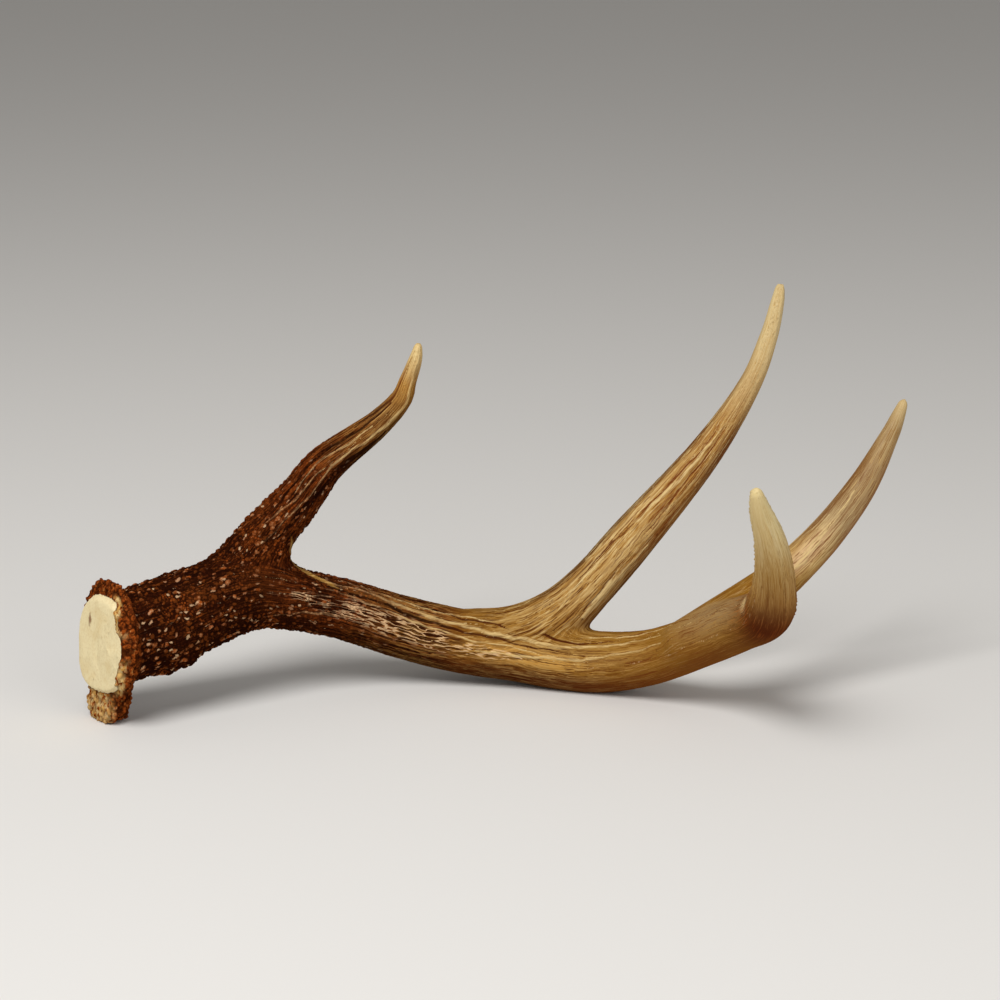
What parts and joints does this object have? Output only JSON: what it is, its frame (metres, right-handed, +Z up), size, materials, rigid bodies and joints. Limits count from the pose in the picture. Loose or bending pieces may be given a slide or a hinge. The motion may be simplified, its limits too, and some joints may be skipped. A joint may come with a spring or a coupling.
{
  "type": "deer antler",
  "caption": "Shed deer antler with a knobbly burr, a pearled lower beam, a brow tine and a forked, curving main beam, lying on its side.",
  "frame": {"origin": "under the middle of the antler, on the surface that it lies on", "axes": "+Z up as it lies, +X from the burr towards the tips, +Y to the side that the beam bows out to"},
  "size_m": [0.3438, 0.1428, 0.1697],
  "materials": {
    "dark_bark": "antler bone, dark red-brown and rough, satin",
    "brown_tine": "antler bone, reddish brown, satin",
    "streaked_beam": "antler bone, brown with pale lengthwise streaks, satin",
    "tan_tine": "antler bone, golden tan, satin",
    "tan_beam": "antler bone, golden tan, satin",
    "ivory_tip": "antler bone, yellowish ivory, semi-gloss",
    "ivory_tine": "antler bone, beige, satin"
  },
  "bodies": {
    "root": {"burr_and_lower_beam": "dark_bark", "brow_tine": "brown_tine", "middle_beam": "streaked_beam", "second_tine": "tan_tine", "front_beam": "tan_beam", "beam_tip": "ivory_tip", "third_tine": "ivory_tine"}
  },
  "joints": []
}
